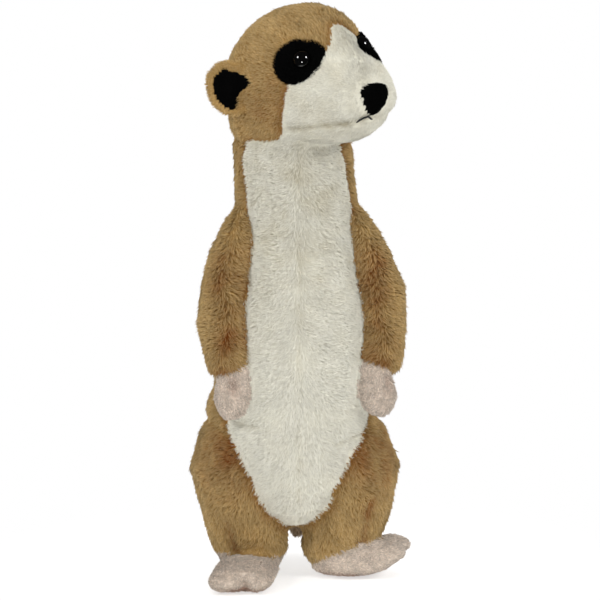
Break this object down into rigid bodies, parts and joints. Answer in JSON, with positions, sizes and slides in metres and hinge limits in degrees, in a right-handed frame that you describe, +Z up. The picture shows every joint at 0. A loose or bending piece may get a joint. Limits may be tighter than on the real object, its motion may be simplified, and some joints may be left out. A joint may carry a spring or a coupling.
{
  "type": "plush toy meerkat",
  "caption": "Stuffed plush meerkat standing upright: tan pile with a cream face and belly, black eye patches, nose and ear linings, velour hands and feet, and a tail.",
  "frame": {"origin": "centre of the base of the bounding box, on the floor the feet stand on", "axes": "+Z up; the toy's chest faces -Y; +X is the toy's left side"},
  "size_m": [0.118, 0.1128, 0.3015],
  "materials": {
    "tan_plush": "short curly-tipped acrylic pile on a woven back, matt, lighter at the tips and rust brown at the roots",
    "cream_plush": "fine short white-cream pile, matt",
    "black_plush": "very short dense black pile, matt",
    "dark_plush": "dark grey-brown pile, matt",
    "pink_velour": "short pinkish-beige velour with seams along its edges, matt",
    "black_plastic": "polished black plastic safety eye"
  },
  "bodies": {
    "root": {"head": "tan_plush", "face": "cream_plush", "nose": "black_plush", "eye_patch_left": "black_plush", "eye_patch_right": "black_plush", "eye_left": "black_plastic", "eye_right": "black_plastic", "ear_left": "tan_plush", "ear_right": "tan_plush", "ear_lining_left": "black_plush", "ear_lining_right": "black_plush", "neck": "tan_plush", "trunk": "tan_plush", "belly": "cream_plush", "arm_left": "tan_plush", "arm_right": "tan_plush", "hand_left": "pink_velour", "hand_right": "pink_velour", "leg_left": "tan_plush", "leg_right": "tan_plush", "foot_left": "pink_velour", "foot_right": "pink_velour", "tail": "tan_plush", "tail_tip": "dark_plush"}
  },
  "joints": []
}
